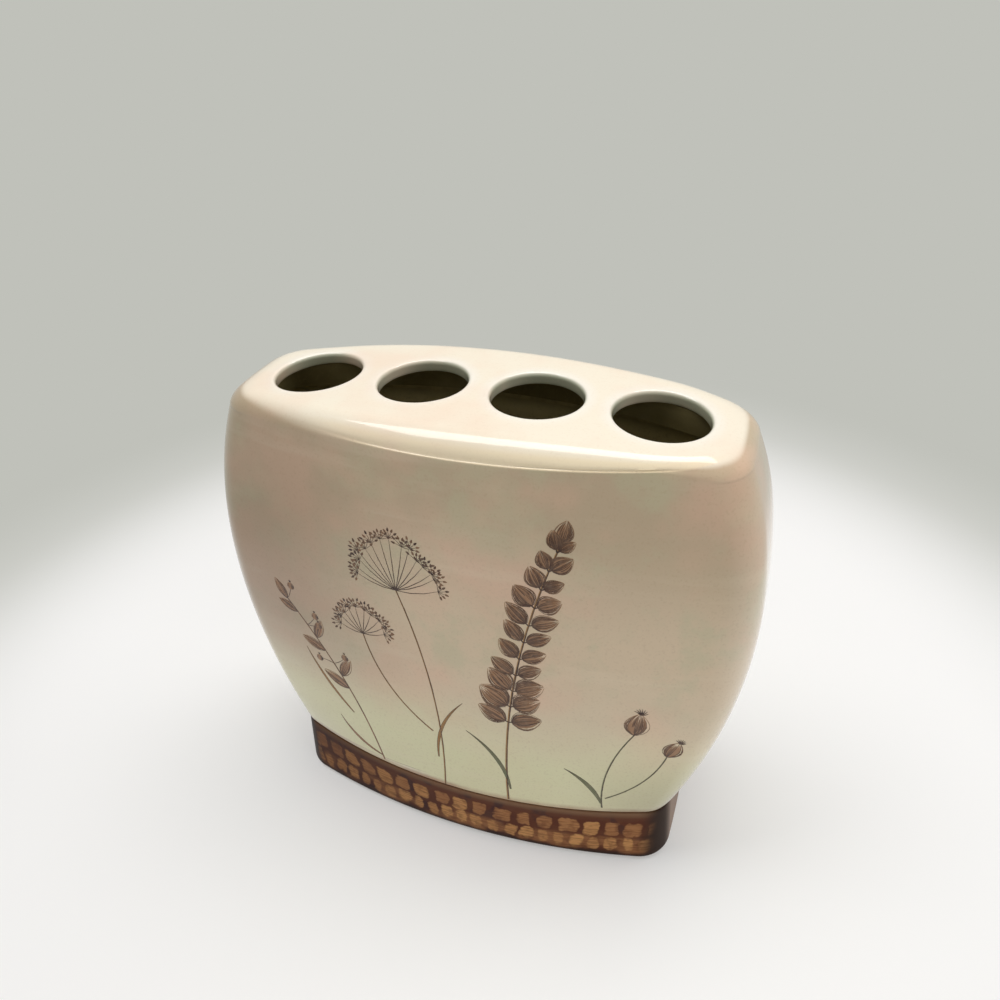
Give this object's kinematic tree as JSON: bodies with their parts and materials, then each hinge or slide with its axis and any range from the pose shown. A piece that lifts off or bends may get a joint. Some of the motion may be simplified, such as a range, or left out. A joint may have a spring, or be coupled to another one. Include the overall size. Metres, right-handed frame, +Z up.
{
  "type": "toothbrush holder",
  "caption": "Countertop glazed toothbrush holder: barrel-shaped lens-plan body on a brown foot, with round brush holes in an arched deck.",
  "frame": {"origin": "centre of the bounding box at its base, on the table under the middle of the foot", "axes": "+Z up, +X along the row of brush holes to the right as seen from the front, +Y from front to back"},
  "size_m": [0.1186, 0.0542, 0.1082],
  "materials": {
    "body_glaze": "glossy pinkish-beige glaze that turns pale sage green near the foot, with printed sprigs",
    "deck_glaze": "glossy cream glaze, whiter round the holes",
    "foot_glaze": "glossy dark brown glaze with tan woven-look patches",
    "bonding_compound": "matt grey-white filler",
    "pad_rubber": "matt grey rubber"
  },
  "bodies": {
    "root": {"body_shell": "body_glaze", "top_deck": "deck_glaze", "foot_plinth": "foot_glaze", "deck_bond_bead": "bonding_compound", "base_bond_bead": "bonding_compound", "foot_pad_front_left": "pad_rubber", "foot_pad_front_right": "pad_rubber", "foot_pad_back_left": "pad_rubber", "foot_pad_back_right": "pad_rubber"}
  },
  "joints": []
}
